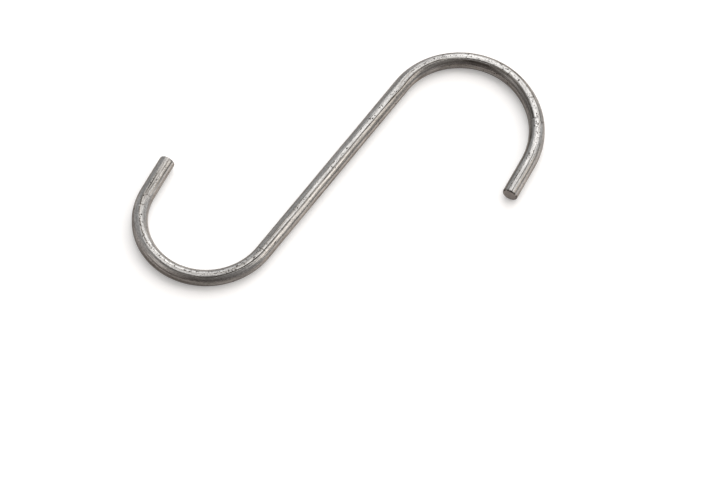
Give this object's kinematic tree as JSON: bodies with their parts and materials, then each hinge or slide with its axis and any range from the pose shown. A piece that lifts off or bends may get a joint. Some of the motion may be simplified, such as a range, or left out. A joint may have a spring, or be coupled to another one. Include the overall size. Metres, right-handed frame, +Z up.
{
  "type": "display hook",
  "caption": "S-shaped open hook bent from one round steel wire, with a wider bend at the top, a tighter bend at the bottom and square-cropped tips. It lies flat.",
  "frame": {"origin": "middle of the hook's footprint, on the surface that it lies on", "axes": "+X runs along the shank from the lower bend to the upper bend; +Z is up, square to the plane of the hook; +Y is the side that the lower bend opens from"},
  "size_m": [0.098, 0.0786, 0.004],
  "materials": {
    "steel": "bare drawn steel wire with fine lengthwise drawing lines, light pitting, a thin dull oxide and marks from the bending tool"
  },
  "bodies": {
    "root": {"s_hook": "steel"}
  },
  "joints": []
}
